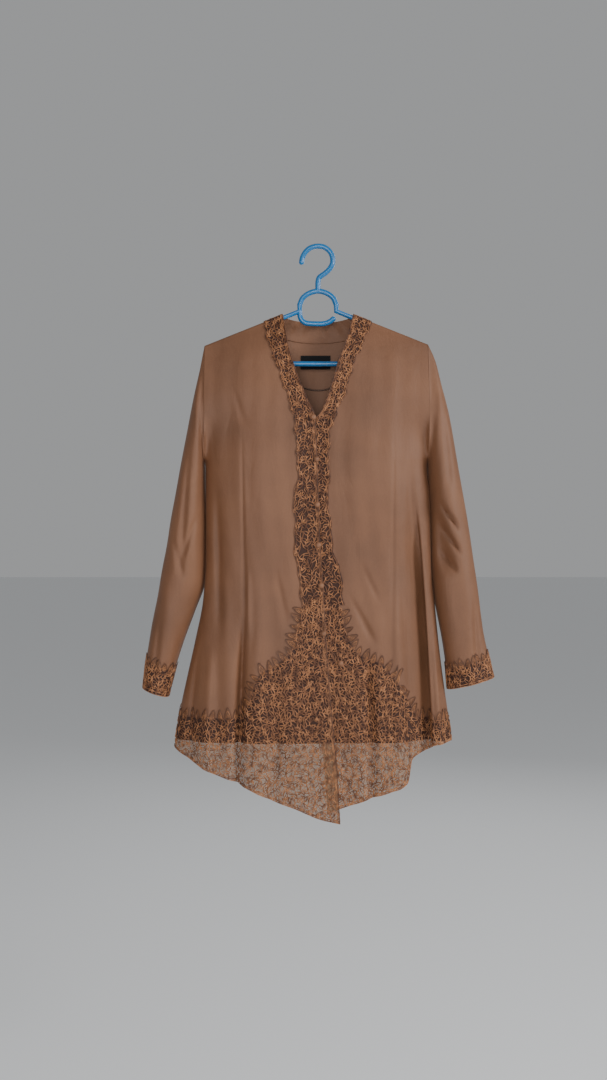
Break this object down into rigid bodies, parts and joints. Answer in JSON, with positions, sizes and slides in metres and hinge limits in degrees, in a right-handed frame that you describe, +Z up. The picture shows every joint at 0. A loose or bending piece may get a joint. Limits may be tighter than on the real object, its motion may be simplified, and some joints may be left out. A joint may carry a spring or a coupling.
{
  "type": "kebaya blouse on hanger",
  "caption": "Long-sleeved kebaya blouse in brown cloth with cord lace down the front, round the cuffs and at a pointed hem, hung on a plastic tube hanger.",
  "frame": {"origin": "inner top of the hanger's hook, where the rail or peg bears", "axes": "+Z up, front of the blouse towards -Y, wearer's right towards -X"},
  "size_m": [0.6347, 0.1146, 1.0279],
  "materials": {
    "cloth": "soft sheen",
    "lace": "matte",
    "button": "soft sheen",
    "label": "matte",
    "hanger": "gloss"
  },
  "bodies": {
    "root": {"front_right": "cloth", "front_left": "cloth", "back": "cloth", "sleeve_right": "cloth", "sleeve_left": "cloth", "collar": "cloth", "facing_back_neck": "cloth", "label": "label", "lace_band_right": "lace", "lace_band_left": "lace", "lace_collar": "lace", "lace_hem_right": "lace", "lace_hem_left": "lace", "lace_hem_back": "lace", "lace_cuff_right": "lace", "lace_cuff_left": "lace", "hanger": "hanger", "button_1": "button", "button_2": "button", "button_3": "button", "button_4": "button", "button_5": "button", "button_6": "button", "button_7": "button"}
  },
  "joints": []
}
